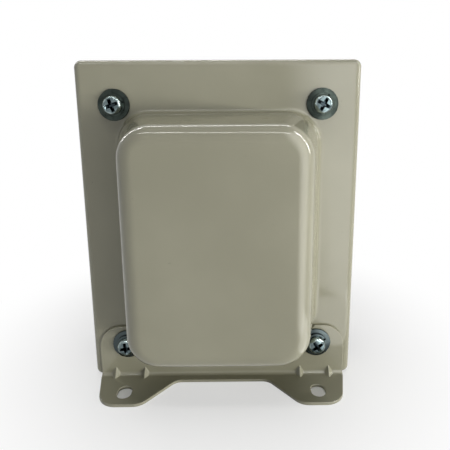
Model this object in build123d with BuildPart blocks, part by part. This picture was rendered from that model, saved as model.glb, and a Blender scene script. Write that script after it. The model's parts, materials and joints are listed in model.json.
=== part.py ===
from build123d import *
import os
from math import cos, pi, radians, sin, tan

# Step-down transformer with two bell covers, standing on two foot brackets.
# Frame: X is the width, -Y is the front, Z is up. The surface it stands on is z = 0, and the
# origin is the middle of the bottom of the bounding box. All sizes are in millimetres.

# Laminations of the usual shape, in which the windows and the outer legs are half as wide as the
# centre leg. Their long side is upright and their legs lie along X.
centre_leg = 38.0
stack = 50.0
core_hole = 5.2

# Bell covers, drawn from one sheet each
sheet = 1.2
side_room = 3.55            # between the core and the folded edges at its sides
top_room = 5.2
bottom_room = 4.5
return_depth = 12.0         # depth of the folded edges
fold_radius = 2.4
cover_corner = 2.7
bell_side_step = 0.6        # from the screws' centre lines in to the bell's side walls
bell_end_step = 2.7         # the same, to its top and bottom walls
bell_base_corner = 12.0
bell_crown_corner = 11.0
bell_depth = 29.2
side_draft = 12.5           # degrees
end_draft = 5.7             # degrees
bell_edge = 6.1
flare = 1.8
cover_hole = 4.6

# Foot brackets
bracket_sheet = 1.2
bracket_step = 2.95         # from the cover's sides in to the bracket's
ear_rise = 7.1              # above the lower screws' centre lines
ear_corner = 8.5
bend_radius = 1.5
bell_clearance = 0.3
ground_clearance = 0.2      # from the surface up to the cover's bottom edge
foot_reach = 19.5           # from the cover's flange to the foot's free edge
web_reach = 5.1             # the same, between the two feet
foot_taper = 3.7            # from the bracket's side in to the foot's, at the free edge
foot_outer_corner = 7.5
foot_inner_corner = 6.5
cutout_corner = 5.0
slot_edge = 11.8            # from a slot's centre out to the bracket's side
slot_reach = 12.3           # from the cover's flange to a slot's centre
cutout_front = 7.4          # from a slot's centre in to the cut-out, at the free edge
cutout_back = 19.1          # the same, at the web
slot_width = 5.4
slot_length = 7.2
gusset_offset = 5.9         # to each side of a slot
gusset_rise = 3.7
gusset_run = 3.0
gusset_half_width = 2.1
dent_half_width = 1.1
dent_depth = 1.2            # how much further than the gusset's legs the dent behind it runs

# Through screws and what is on them
screw_diameter = 4.0
screw_length = 65.0
head_diameter = 7.0
head_height = 2.6
head_edge = 1.3
recess_mouth = 4.0
recess_floor = 1.6
recess_width = 0.9
recess_depth = 1.7
recess_turns = (20.0, 62.0, 8.0, 35.0)      # degrees: upper left, upper right, lower left, lower right
plain_washer_diameter = 11.6
plain_washer_hole = 4.3
plain_washer_height = 0.9
spring_washer_diameter = 7.6
spring_washer_hole = 4.2
spring_washer_height = 1.0
spring_washer_gap = 0.9
nut_width = 7.0
nut_height = 3.2
nut_bore = 4.05
nut_turning = 0.4
sleeve_outer = 5.0
sleeve_inner = 4.2

# Coil on the centre leg
leg_clearance = 0.3
window_clearance = 0.4
bobbin_wall = 1.5
bobbin_flange = 1.2
bobbin_overhang = 18.5      # the flange's reach past the stack, front and rear
bobbin_corner = 3.0
barrier_build = 0.8
wrap_build = 0.5
coil_room = 2.0             # between the outer wrap and the window's far side
leg_corner = 0.6

# Terminal block on the rear bell
block_rise = 12.0           # above the core's centre
pole_count = 4
barrier_wall = 1.5
block_margin = 2.0          # from the block's ends out to the end of the bell's flat face
block_base = 4.0
block_barrier = 9.0
block_height = 20.0
block_ear = 6.2
block_edge = 0.6
window_margin = 1.0         # the bell's window, smaller than the poles by this on each side
window_height = 12.0
window_corner = 2.0
plate_clearance = 0.1       # from a terminal plate to the barriers
plate_height = 14.0
plate_thickness = 1.0
tail_width = 3.0
tail_drop = 4.5             # below the terminal screws
tail_inside = 4.0           # how far the tail stands inside the bell
tail_clearance = 0.1
clamp_step = 0.2            # from a terminal plate's edges in to the clamp's
clamp_height = 6.0
clamp_thickness = 0.8
clamp_hole = 3.2
small_screw_diameter = 3.0
small_head_diameter = 5.4
terminal_head_room = 0.4    # between a terminal screw's head and the barriers
small_head_height = 2.0
small_head_edge = 0.8
small_slot_width = 0.8
small_slot_depth = 0.9
terminal_screw_length = 5.0
terminal_slot_turns = (25.0, 65.0, 105.0, 145.0)
block_slot_turns = (-70.0, 70.0)
block_screw_length = 10.0
small_nut_width = 5.5
small_nut_height = 2.4
thread_clearance = 0.05

# Leads from the coil to the terminals
lead_diameter = 2.2
lead_straight = 1.0         # from a terminal's tail to the start of the lead's bend
lead_length_on_coil = 24.0
lead_clearance = 0.1

# Sizes and places that follow from those above
outer_leg = centre_leg / 2
coil_window = centre_leg / 2
leg_length = 3 * coil_window
core_width = leg_length + 2 * outer_leg
core_height = centre_leg + 2 * coil_window + 2 * outer_leg
bolt_x = (core_width - outer_leg) / 2
bolt_z = (core_height - outer_leg) / 2
cover_width = core_width + 2 * (side_room + sheet)
cover_above = core_height / 2 + top_room + sheet
cover_below = core_height / 2 + bottom_room + sheet
core_z = cover_below + ground_clearance
block_depth = block_base + block_barrier
core_y = -block_depth / 2                       # keeps the bounding box centred on y = 0
core_front = core_y - stack / 2
flange_front = core_front - sheet
flange_rear = core_y + stack / 2 + sheet
bell_front = flange_front - bell_depth
bell_rear = flange_rear + bell_depth
bell_half_width = bolt_x - bell_side_step
bell_half_height = bolt_z - bell_end_step
crown_half_width = bell_half_width - bell_depth * tan(radians(side_draft))
crown_half_height = bell_half_height - bell_depth * tan(radians(end_draft))
bracket_half_width = cover_width / 2 - bracket_step
ear_top = bolt_z - ear_rise
slot_x = bracket_half_width - slot_edge
mid_plane = Plane.XZ.offset(-core_y)


def facing(y, x=0.0, z=0.0, turn=0.0):
    """Plane at y that faces the front, with its origin at x and z from the core's centre."""
    across = (cos(radians(turn)), 0, sin(radians(turn)))
    return Plane(origin=(x, y, core_z + z), x_dir=across, z_dir=(0, -1, 0))


def rear_facing(y, x=0.0, z=0.0):
    """Plane at y that faces the rear, with its origin at x and z from the core's centre."""
    return Plane(origin=(x, y, core_z + z), x_dir=(-1, 0, 0), z_dir=(0, 1, 0))


def bell_body(side_inset, end_inset, corner_inset, base_y, edge):
    """Solid bell on the plane y = base_y, with its walls moved in by the insets."""
    crown_y = base_y - bell_depth
    with BuildPart() as body:
        with BuildSketch(facing(base_y)):
            RectangleRounded(
                2 * (bell_half_width - side_inset),
                2 * (bell_half_height - end_inset),
                bell_base_corner - corner_inset,
            )
        with BuildSketch(facing(crown_y)):
            RectangleRounded(
                2 * (crown_half_width - side_inset),
                2 * (crown_half_height - end_inset),
                bell_crown_corner - corner_inset,
            )
        loft()
        fillet(body.faces().sort_by(Axis.Y)[0].edges(), radius=edge)
    return body.part


def draft_inset(draft):
    """How far a drafted wall of the sheet lies inside itself when it moves back by the sheet."""
    return sheet * (1 - sin(radians(draft))) / cos(radians(draft))


side_inset = draft_inset(side_draft)
end_inset = draft_inset(end_draft)
bell_outside = bell_body(0, 0, 0, flange_front, bell_edge)
bell_inside = bell_body(side_inset, end_inset, (side_inset + end_inset) / 2, core_front, bell_edge - sheet)



def tray_body(inset):
    """Solid tray with the outline of the cover's folded edges, moved in by the inset all round."""
    with BuildPart() as tray:
        with BuildSketch(facing(flange_front + return_depth, 0, (cover_above - cover_below) / 2)):
            RectangleRounded(
                cover_width - 2 * inset,
                cover_above + cover_below - 2 * inset,
                cover_corner - inset,
            )
        extrude(amount=return_depth - inset)
        fillet(tray.faces().sort_by(Axis.Y)[0].edges(), radius=fold_radius - inset)
    return tray.part


# Front cover
with BuildPart() as front_cover:
    add(tray_body(0))
    add(tray_body(sheet), mode=Mode.SUBTRACT)
    add(bell_outside)
    flange_edges = front_cover.edges().filter_by_position(Axis.Y, flange_front, flange_front)
    fillet(flange_edges.filter_by_position(Axis.X, -bell_half_width, bell_half_width), radius=flare)
    add(bell_inside, mode=Mode.SUBTRACT)
    mouth_edges = front_cover.edges().filter_by_position(Axis.Y, core_front, core_front)
    fillet(mouth_edges.filter_by_position(Axis.X, -bell_half_width, bell_half_width), radius=sheet / 2)
    with BuildSketch(facing(flange_front)):
        with GridLocations(2 * bolt_x, 2 * bolt_z, 2, 2):
            Circle(cover_hole / 2)
    extrude(amount=-sheet, mode=Mode.SUBTRACT)
front_cover.part.label = "front_cover"

# Rear cover, the same pressing with a window and two holes for the terminal block
crown_flat = crown_half_width - bell_edge / tan(radians(90 + side_draft) / 2)
block_half_length = crown_flat - block_margin
block_half = block_half_length - block_ear
pole_pitch = (2 * block_half - barrier_wall) / pole_count
block_screw_x = block_half + block_ear / 2
with BuildPart() as rear_cover:
    mirror(front_cover.part, about=mid_plane)
    with BuildSketch(rear_facing(bell_rear, 0, block_rise)):
        RectangleRounded(2 * (block_half - window_margin), window_height, window_corner)
        with GridLocations(2 * block_screw_x, 0, 2, 1):
            Circle(small_screw_diameter / 2 + leg_clearance / 2)
    extrude(amount=-2 * sheet, mode=Mode.SUBTRACT)
rear_cover.part.label = "rear_cover"


def gusset_body(x, corner_y, corner_z, rise, run, half_width):
    """Three-sided dart in an inside corner, with its crest from the upright to the foot."""
    with BuildPart() as dart:
        with BuildSketch(Plane.XY.offset(corner_z)) as root:
            with BuildLine():
                Polyline(
                    (x - half_width, corner_y),
                    (x + half_width, corner_y),
                    (x, corner_y - run),
                    close=True,
                )
            make_face()
        loft(sections=[root.sketch, Vertex(x, corner_y, corner_z + rise)])
    return dart.part


# Front foot bracket: an angle cut to the feet's plan and to the ears' elevation
bracket_face = flange_front - bracket_sheet
free_edge = flange_front - foot_reach
web_edge = flange_front - web_reach
gusset_places = [
    side * slot_x + step for side in (-1, 1) for step in (-gusset_offset, gusset_offset)
]
gussets = [
    gusset_body(x, bracket_face, bracket_sheet, gusset_rise, gusset_run, gusset_half_width)
    for x in gusset_places
]
dents = [
    gusset_body(x, flange_front, 0, gusset_rise + dent_depth, gusset_run + dent_depth, dent_half_width)
    for x in gusset_places
]
with BuildPart() as front_foot_bracket:
    with BuildSketch(Plane.YZ) as angle_section:
        with BuildLine():
            Polyline(
                (flange_front, core_z - ear_top),
                (flange_front, 0),
                (free_edge, 0),
                (free_edge, bracket_sheet),
                (bracket_face, bracket_sheet),
                (bracket_face, core_z - ear_top),
                close=True,
            )
        make_face()
        for corner, radius in (
            ((bracket_face, bracket_sheet, 0), bend_radius),
            ((flange_front, 0, 0), bend_radius + bracket_sheet),
        ):
            fillet(angle_section.vertices().sort_by_distance(corner)[0], radius=radius)
    extrude(amount=bracket_half_width, both=True)
    with BuildSketch(Plane.XY) as plan:
        with BuildLine():
            Polyline(
                (0, flange_front),
                (bracket_half_width, flange_front),
                (bracket_half_width, bracket_face - bend_radius),
                (bracket_half_width - foot_taper, free_edge),
                (slot_x - cutout_front, free_edge),
                (slot_x - cutout_back, web_edge),
                (0, web_edge),
                close=True,
            )
        make_face()
        for corner, radius in (
            ((bracket_half_width - foot_taper, free_edge, 0), foot_outer_corner),
            ((slot_x - cutout_front, free_edge, 0), foot_inner_corner),
            ((slot_x - cutout_back, web_edge, 0), cutout_corner),
        ):
            fillet(plan.vertices().sort_by_distance(corner)[0], radius=radius)
        mirror(about=Plane.YZ)
        for side in (-1, 1):
            with Locations((side * slot_x, flange_front - slot_reach)):
                SlotOverall(slot_length, slot_width, rotation=90, mode=Mode.SUBTRACT)
    extrude(amount=core_z, mode=Mode.INTERSECT)
    with BuildSketch(facing(flange_front)):
        with Locations((0, -(core_z + ear_top) / 2)):
            elevation = Rectangle(2 * bracket_half_width, core_z - ear_top)
        fillet(elevation.vertices().group_by(Axis.Y)[-1], radius=ear_corner)
        RectangleRounded(
            2 * (bell_half_width + flare + bell_clearance),
            2 * (bell_half_height + flare + bell_clearance),
            bell_base_corner + flare + bell_clearance,
            mode=Mode.SUBTRACT,
        )
        with GridLocations(2 * bolt_x, 2 * bolt_z, 2, 2):
            Circle(cover_hole / 2, mode=Mode.SUBTRACT)
    extrude(amount=foot_reach, mode=Mode.INTERSECT)
    add(gussets)
    add(dents, mode=Mode.SUBTRACT)
front_foot_bracket.part.label = "front_foot_bracket"

# Rear foot bracket
with BuildPart() as rear_foot_bracket:
    mirror(front_foot_bracket.part, about=mid_plane)
rear_foot_bracket.part.label = "rear_foot_bracket"

# Core: E laminations with the back on the left, I laminations on the right
with BuildPart() as core_e_laminations:
    with BuildSketch(facing(core_front)):
        with Locations((-outer_leg / 2, 0)):
            Rectangle(core_width - outer_leg, core_height)
        with Locations((0, (centre_leg + coil_window) / 2), (0, -(centre_leg + coil_window) / 2)):
            Rectangle(leg_length, coil_window, mode=Mode.SUBTRACT)
        with Locations((-bolt_x, bolt_z), (-bolt_x, -bolt_z)):
            Circle(core_hole / 2, mode=Mode.SUBTRACT)
    extrude(amount=-stack)
core_e_laminations.part.label = "core_e_laminations"

with BuildPart() as core_i_laminations:
    with BuildSketch(facing(core_front)):
        with Locations((core_width / 2 - outer_leg / 2, 0)):
            Rectangle(outer_leg, core_height)
        with Locations((bolt_x, bolt_z), (bolt_x, -bolt_z)):
            Circle(core_hole / 2, mode=Mode.SUBTRACT)
    extrude(amount=-stack)
core_i_laminations.part.label = "core_i_laminations"

# Coil: every layer is a tube round the centre leg
coil_plane = Plane(origin=(0, core_y, core_z), x_dir=(0, 1, 0), z_dir=(1, 0, 0))
tube_half_depth = stack / 2 + leg_clearance
tube_half_height = centre_leg / 2 + leg_clearance
bobbin_half_length = leg_length / 2 - window_clearance
winding_half_length = bobbin_half_length - bobbin_flange


def layer_outline(build):
    """Rounded rectangle that lies a build-up outside the bobbin's bore."""
    RectangleRounded(
        2 * (tube_half_depth + build),
        2 * (tube_half_height + build),
        leg_corner + build,
    )


def layer(inner, outer):
    """Tube between two build-ups, as long as the space between the bobbin's flanges."""
    with BuildPart() as tube:
        with BuildSketch(coil_plane):
            layer_outline(outer)
        extrude(amount=winding_half_length, both=True)
        with BuildSketch(coil_plane):
            layer_outline(inner)
        extrude(amount=winding_half_length, both=True, mode=Mode.SUBTRACT)
    return tube.part


with BuildPart() as bobbin:
    with BuildSketch(coil_plane):
        layer_outline(bobbin_wall)
    extrude(amount=bobbin_half_length, both=True)
    for end in (-1, 1):
        with BuildSketch(coil_plane.offset(end * bobbin_half_length)):
            RectangleRounded(
                2 * (stack / 2 + bobbin_overhang),
                2 * (centre_leg / 2 + coil_window - window_clearance),
                bobbin_corner,
            )
        extrude(amount=-end * bobbin_flange)
    with BuildSketch(coil_plane):
        layer_outline(0)
    extrude(amount=bobbin_half_length, both=True, mode=Mode.SUBTRACT)
bobbin.part.label = "bobbin"

wrap_outer = coil_window - leg_clearance - coil_room
winding_build = (wrap_outer - wrap_build - barrier_build - bobbin_wall) / 2
primary_outer = bobbin_wall + winding_build
barrier_outer = primary_outer + barrier_build
secondary_outer = barrier_outer + winding_build

with BuildPart() as primary_winding:
    add(layer(bobbin_wall, primary_outer))
primary_winding.part.label = "primary_winding"

with BuildPart() as winding_insulation:
    add(layer(primary_outer, barrier_outer))
winding_insulation.part.label = "winding_insulation"

with BuildPart() as secondary_winding:
    add(layer(barrier_outer, secondary_outer))
secondary_winding.part.label = "secondary_winding"

with BuildPart() as outer_wrap:
    add(layer(secondary_outer, wrap_outer))
outer_wrap.part.label = "outer_wrap"

# Sleeves on the through screws, inside the core
with BuildPart() as bolt_sleeves:
    with BuildSketch(facing(core_front)):
        with GridLocations(2 * bolt_x, 2 * bolt_z, 2, 2):
            Circle(sleeve_outer / 2)
            Circle(sleeve_inner / 2, mode=Mode.SUBTRACT)
    extrude(amount=-stack)
bolt_sleeves.part.label = "bolt_sleeves"

# Seats of the screw stacks: the upper ones on the cover, the lower ones on the bracket's ears
seats = (
    (-bolt_x, bolt_z, 0.0),
    (bolt_x, bolt_z, 0.0),
    (-bolt_x, -bolt_z, bracket_sheet),
    (bolt_x, -bolt_z, bracket_sheet),
)
washer_stack = plain_washer_height + spring_washer_height

with BuildPart() as through_screws:
    for (x, z, step), turn in zip(seats, recess_turns):
        underside = flange_front - step - washer_stack
        with BuildSketch(facing(underside, x, z)):
            Circle(head_diameter / 2)
        head = extrude(amount=head_height)
        fillet(head.faces().sort_by(Axis.Y)[0].edges(), radius=head_edge)
        with BuildSketch(facing(underside, x, z)):
            Circle(screw_diameter / 2)
        shank = extrude(amount=-screw_length)
        chamfer(shank.faces().sort_by(Axis.Y)[-1].edges(), length=screw_diameter / 10)
        for arm in (0, 90):
            mouth_plane = facing(underside - head_height, x, z, turn + arm)
            with BuildSketch(mouth_plane):
                Rectangle(recess_mouth, recess_width)
            with BuildSketch(mouth_plane.offset(-recess_depth)):
                Rectangle(recess_floor, recess_width * 2 / 3)
            loft(mode=Mode.SUBTRACT)
through_screws.part.label = "through_screws"


def ring_body(plane, outer, bore, height, gap=0.0):
    """Flat ring that rises from a plane, cut through on one side if a gap is given."""
    with BuildPart() as ring:
        with BuildSketch(plane):
            Circle(outer / 2)
            Circle(bore / 2, mode=Mode.SUBTRACT)
            if gap:
                Rectangle(outer, gap, align=(Align.MIN, Align.CENTER), mode=Mode.SUBTRACT)
        extrude(amount=height)
    return ring.part


def plain_washer(plane):
    """Plain washer that rises from a plane."""
    return ring_body(plane, plain_washer_diameter, plain_washer_hole, plain_washer_height)


def spring_washer(plane):
    """Split spring washer that rises from a plane."""
    return ring_body(
        plane, spring_washer_diameter, spring_washer_hole, spring_washer_height, spring_washer_gap
    )


with BuildPart() as front_plain_washers:
    for x, z, step in seats:
        add(plain_washer(facing(flange_front - step, x, z)))
front_plain_washers.part.label = "front_plain_washers"

with BuildPart() as front_spring_washers:
    for (x, z, step), turn in zip(seats, recess_turns):
        add(spring_washer(facing(flange_front - step - plain_washer_height, x, z, turn)))
front_spring_washers.part.label = "front_spring_washers"

with BuildPart() as rear_plain_washers:
    for x, z, step in seats:
        add(plain_washer(rear_facing(flange_rear + step, x, z)))
rear_plain_washers.part.label = "rear_plain_washers"

with BuildPart() as rear_spring_washers:
    for x, z, step in seats:
        add(spring_washer(rear_facing(flange_rear + step + plain_washer_height, x, z)))
rear_spring_washers.part.label = "rear_spring_washers"


def nut_body(width, height, bore):
    """Hexagon nut on the XY plane, with its upper corners turned off."""
    corner_radius = width / 2 / cos(pi / 6)
    with BuildPart() as nut:
        with BuildSketch():
            RegularPolygon(width / 2, 6, major_radius=False)
        extrude(amount=height)
        with BuildSketch(Plane.XZ):
            with BuildLine():
                Polyline(
                    (0, 0),
                    (corner_radius, 0),
                    (corner_radius, height - nut_turning),
                    (width / 2 - nut_turning, height),
                    (0, height),
                    close=True,
                )
            make_face()
        revolve(axis=Axis.Z, mode=Mode.INTERSECT)
        with BuildSketch():
            Circle(bore / 2)
        extrude(amount=height, mode=Mode.SUBTRACT)
    return nut.part


through_nut = nut_body(nut_width, nut_height, nut_bore)
with BuildPart() as rear_nuts:
    for x, z, step in seats:
        with Locations(rear_facing(flange_rear + step + washer_stack, x, z)):
            add(through_nut)
rear_nuts.part.label = "rear_nuts"

# Terminal block: a base with ears, barriers between the poles
pole_places = [(pole - (pole_count - 1) / 2) * pole_pitch for pole in range(pole_count)]
barrier_places = [(wall - pole_count / 2) * pole_pitch for wall in range(pole_count + 1)]
plate_width = pole_pitch - barrier_wall - 2 * plate_clearance
terminal_head_diameter = pole_pitch - barrier_wall - 2 * terminal_head_room
block_top = bell_rear + block_base
with BuildPart() as terminal_block:
    with BuildSketch(rear_facing(bell_rear, 0, block_rise)):
        Rectangle(2 * block_half_length, block_height)
    extrude(amount=block_base)
    with BuildSketch(rear_facing(block_top, 0, block_rise)):
        for place in barrier_places:
            with Locations((place, 0)):
                Rectangle(barrier_wall, block_height)
    extrude(amount=block_barrier)
    fillet(terminal_block.edges().filter_by(Axis.Y), radius=block_edge)
    with BuildSketch(rear_facing(block_top, 0, block_rise)):
        with GridLocations(2 * block_screw_x, 0, 2, 1):
            Circle(small_screw_diameter / 2 + leg_clearance / 2)
        with GridLocations(pole_pitch, 0, pole_count, 1):
            Circle(small_screw_diameter / 2 + leg_clearance / 2)
        with Locations((0, -tail_drop)):
            with GridLocations(pole_pitch, 0, pole_count, 1):
                Rectangle(tail_width + 2 * tail_clearance, plate_thickness + 2 * tail_clearance)
    extrude(amount=-block_base, mode=Mode.SUBTRACT)
terminal_block.part.label = "terminal_block"

# Terminal plates, each with a tail through the block and the bell's window
with BuildPart() as terminal_plates:
    with BuildSketch(rear_facing(block_top, 0, block_rise)):
        with GridLocations(pole_pitch, 0, pole_count, 1):
            Rectangle(plate_width, plate_height)
            Circle(small_screw_diameter / 2 + thread_clearance, mode=Mode.SUBTRACT)
    extrude(amount=plate_thickness)
    with BuildSketch(rear_facing(block_top, 0, block_rise - tail_drop)):
        with GridLocations(pole_pitch, 0, pole_count, 1):
            Rectangle(tail_width, plate_thickness)
    extrude(amount=-(block_base + sheet + tail_inside))
terminal_plates.part.label = "terminal_plates"

clamp_face = block_top + plate_thickness
with BuildPart() as terminal_clamps:
    with BuildSketch(rear_facing(clamp_face, 0, block_rise)):
        with GridLocations(pole_pitch, 0, pole_count, 1):
            Rectangle(plate_width - 2 * clamp_step, clamp_height)
            Circle(clamp_hole / 2, mode=Mode.SUBTRACT)
    extrude(amount=clamp_thickness)
terminal_clamps.part.label = "terminal_clamps"


def small_screw(plane, head_width, length, slot_turn):
    """Slotted pan-head screw whose head rises from a plane."""
    with BuildPart() as screw:
        with BuildSketch(plane):
            Circle(head_width / 2)
        head = extrude(amount=small_head_height)
        fillet(head.faces().sort_by(Axis.Y)[-1].edges(), radius=small_head_edge)
        with BuildSketch(plane):
            Circle(small_screw_diameter / 2)
        extrude(amount=-length)
        with BuildSketch(plane.offset(small_head_height)):
            Rectangle(head_width, small_slot_width, rotation=slot_turn)
        extrude(amount=-small_slot_depth, mode=Mode.SUBTRACT)
    return screw.part


with BuildPart() as terminal_screws:
    for place, turn in zip(pole_places, terminal_slot_turns):
        seat = rear_facing(clamp_face + clamp_thickness, place, block_rise)
        add(small_screw(seat, terminal_head_diameter, terminal_screw_length, turn))
terminal_screws.part.label = "terminal_screws"

with BuildPart() as block_screws:
    for place, turn in zip((-block_screw_x, block_screw_x), block_slot_turns):
        seat = rear_facing(block_top, place, block_rise)
        add(small_screw(seat, small_head_diameter, block_screw_length, turn))
block_screws.part.label = "block_screws"

block_nut = nut_body(small_nut_width, small_nut_height, small_screw_diameter + 2 * thread_clearance)
with BuildPart() as block_nuts:
    for side in (-1, 1):
        with Locations(facing(bell_rear - sheet, side * block_screw_x, block_rise)):
            add(block_nut)
block_nuts.part.label = "block_nuts"

# Leads, from the terminal tails down over the coil's outer wrap
tail_end = bell_rear - sheet - tail_inside
lead_line = core_y + tube_half_depth + wrap_outer + lead_diameter / 2 + lead_clearance
lead_top = core_z + block_rise - tail_drop
lead_bend = tail_end - lead_line - lead_straight


def lead(x):
    """Insulated lead from one terminal tail to its tag on the coil."""
    with BuildPart() as wire:
        with BuildLine() as route:
            FilletPolyline(
                (x, tail_end, lead_top),
                (x, lead_line, lead_top),
                (x, lead_line, lead_top - lead_length_on_coil),
                radius=lead_bend,
            )
        with BuildSketch(Plane(origin=(x, tail_end, lead_top), z_dir=(0, -1, 0))):
            Circle(lead_diameter / 2)
        sweep(path=route.line)
    return wire.part


with BuildPart() as primary_leads:
    for place in pole_places[: pole_count // 2]:
        add(lead(place))
primary_leads.part.label = "primary_leads"

with BuildPart() as secondary_leads:
    for place in pole_places[pole_count // 2 :]:
        add(lead(place))
secondary_leads.part.label = "secondary_leads"

os.makedirs("parts", exist_ok=True)
export_step(front_cover.part, "parts/front_cover.step")
export_step(rear_cover.part, "parts/rear_cover.step")
export_step(front_foot_bracket.part, "parts/front_foot_bracket.step")
export_step(rear_foot_bracket.part, "parts/rear_foot_bracket.step")
export_step(core_e_laminations.part, "parts/core_e_laminations.step")
export_step(core_i_laminations.part, "parts/core_i_laminations.step")
export_step(bobbin.part, "parts/bobbin.step")
export_step(primary_winding.part, "parts/primary_winding.step")
export_step(winding_insulation.part, "parts/winding_insulation.step")
export_step(secondary_winding.part, "parts/secondary_winding.step")
export_step(outer_wrap.part, "parts/outer_wrap.step")
export_step(bolt_sleeves.part, "parts/bolt_sleeves.step")
export_step(through_screws.part, "parts/through_screws.step")
export_step(front_plain_washers.part, "parts/front_plain_washers.step")
export_step(front_spring_washers.part, "parts/front_spring_washers.step")
export_step(rear_plain_washers.part, "parts/rear_plain_washers.step")
export_step(rear_spring_washers.part, "parts/rear_spring_washers.step")
export_step(rear_nuts.part, "parts/rear_nuts.step")
export_step(terminal_block.part, "parts/terminal_block.step")
export_step(terminal_plates.part, "parts/terminal_plates.step")
export_step(terminal_clamps.part, "parts/terminal_clamps.step")
export_step(terminal_screws.part, "parts/terminal_screws.step")
export_step(block_screws.part, "parts/block_screws.step")
export_step(block_nuts.part, "parts/block_nuts.step")
export_step(primary_leads.part, "parts/primary_leads.step")
export_step(secondary_leads.part, "parts/secondary_leads.step")
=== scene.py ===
"""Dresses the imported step-down transformer and sets up the studio that it is seen in.

The covers, brackets, screws and washers that show are made again here with finer surfaces. The other
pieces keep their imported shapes. All lengths are in metres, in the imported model's own frame.
"""

import json
import logging
import math
from dataclasses import dataclass, field
from enum import Enum
from typing import Any, Callable, Iterable, Optional, Sequence, Union

import bmesh
import bpy
from mathutils import Matrix, Vector

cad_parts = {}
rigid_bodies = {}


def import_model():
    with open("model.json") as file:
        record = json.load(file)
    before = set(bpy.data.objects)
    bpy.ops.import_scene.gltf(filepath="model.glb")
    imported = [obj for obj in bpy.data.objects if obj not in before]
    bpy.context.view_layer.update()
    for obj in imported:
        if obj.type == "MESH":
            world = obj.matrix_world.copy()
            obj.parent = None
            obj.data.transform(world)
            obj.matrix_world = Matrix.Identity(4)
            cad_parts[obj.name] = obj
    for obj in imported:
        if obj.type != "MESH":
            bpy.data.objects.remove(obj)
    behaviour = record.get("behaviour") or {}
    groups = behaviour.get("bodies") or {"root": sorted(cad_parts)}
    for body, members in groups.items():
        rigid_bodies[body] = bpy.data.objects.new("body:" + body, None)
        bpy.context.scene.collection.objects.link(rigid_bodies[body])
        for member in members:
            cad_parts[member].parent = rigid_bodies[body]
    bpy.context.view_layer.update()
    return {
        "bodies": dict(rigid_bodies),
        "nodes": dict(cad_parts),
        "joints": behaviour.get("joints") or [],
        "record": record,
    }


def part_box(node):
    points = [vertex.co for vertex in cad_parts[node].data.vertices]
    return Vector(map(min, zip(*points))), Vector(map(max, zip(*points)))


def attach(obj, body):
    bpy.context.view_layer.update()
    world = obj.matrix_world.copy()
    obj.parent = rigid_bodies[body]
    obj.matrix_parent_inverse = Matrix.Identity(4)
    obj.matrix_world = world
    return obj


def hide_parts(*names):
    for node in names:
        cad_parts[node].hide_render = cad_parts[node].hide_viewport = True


LOG = logging.getLogger("transformer")
MM = 0.001
# Places and sizes that several pieces share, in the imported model's frame.
CORE_HEIGHT = 62.9 * MM
CORE_Y = -6.5 * MM
SCREW_PITCH = (38.0 * MM, 47.5 * MM)
BELL_DEPTH = 29.2 * MM
# Edges flatter than this many degrees are shaded smooth, on most pieces.
SMOOTH_ANGLE = 35.0
LAMP_COLOUR = (1.0, 0.995, 0.98)
WHITE = (1.0, 1.0, 1.0)
SEEN_RAYS = ("Is Camera Ray", "Is Glossy Ray", "Is Transmission Ray")
Mesh = bmesh.types.BMesh
Owner = Union[bpy.types.Material, bpy.types.World]
Number = Union[int, float]
Colour = tuple[float, float, float]


class Side(Enum):
    """Which of the two covers or brackets a piece belongs to."""

    FRONT = "front"
    REAR = "rear"

    @property
    def outward(self) -> float:
        """Sign of Y that points away from the core on this side."""
        return -1.0 if self is Side.FRONT else 1.0


def linear(red: int, green: int, blue: int) -> Colour:
    """Turns a screen colour into the linear values that shaders take.

    Args:
        red: Red from 0 to 255.
        green: Green from 0 to 255.
        blue: Blue from 0 to 255.

    Returns:
        The colour as three linear values.
    """
    values = []
    for channel in (red, green, blue):
        share = channel / 255
        values.append(share / 12.92 if share <= 0.04045 else ((share + 0.055) / 1.055) ** 2.4)
    return (values[0], values[1], values[2])


def shift(mesh: Mesh, by: Vector) -> None:
    """Moves a whole mesh.

    Args:
        mesh: The mesh.
        by: How far, on each axis.
    """
    bmesh.ops.translate(mesh, vec=by, verts=mesh.verts[:])


def rotate(mesh: Mesh, degrees: float, axis: str) -> None:
    """Turns a whole mesh about an axis through the origin.

    Args:
        mesh: The mesh.
        degrees: How far.
        axis: "X", "Y" or "Z".
    """
    matrix = Matrix.Rotation(math.radians(degrees), 3, axis)
    bmesh.ops.rotate(mesh, cent=(0.0, 0.0, 0.0), matrix=matrix, verts=mesh.verts[:])


def block(size: Sequence[float]) -> Mesh:
    """Makes a box with its middle at the origin.

    Args:
        size: Its size on each axis.

    Returns:
        The box.
    """
    mesh = bmesh.new()
    bmesh.ops.create_cube(mesh, size=1.0)
    bmesh.ops.scale(mesh, vec=size, verts=mesh.verts[:])
    return mesh


def placed(name: str, mesh: Mesh) -> bpy.types.Object:
    """Puts a mesh in the scene.

    Args:
        name: The object's name.
        mesh: Its mesh, which is freed.

    Returns:
        The object.
    """
    data = bpy.data.meshes.new(name)
    mesh.to_mesh(data)
    mesh.free()
    made = bpy.data.objects.new(name, data)
    bpy.context.scene.collection.objects.link(made)
    return made


def operator(operation: str, swapped: bool = False) -> Callable[["Wire", Any], "Wire"]:
    """Makes an operator of Wire that adds a Math node.

    Args:
        operation: The node's operation.
        swapped: Whether the wire stands on the operator's right.

    Returns:
        The operator.
    """

    def apply(wire: "Wire", other: Union["Wire", Number]) -> "Wire":
        """The node's result."""
        return wire.math(operation, *((other, wire) if swapped else (wire, other)))

    return apply


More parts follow.
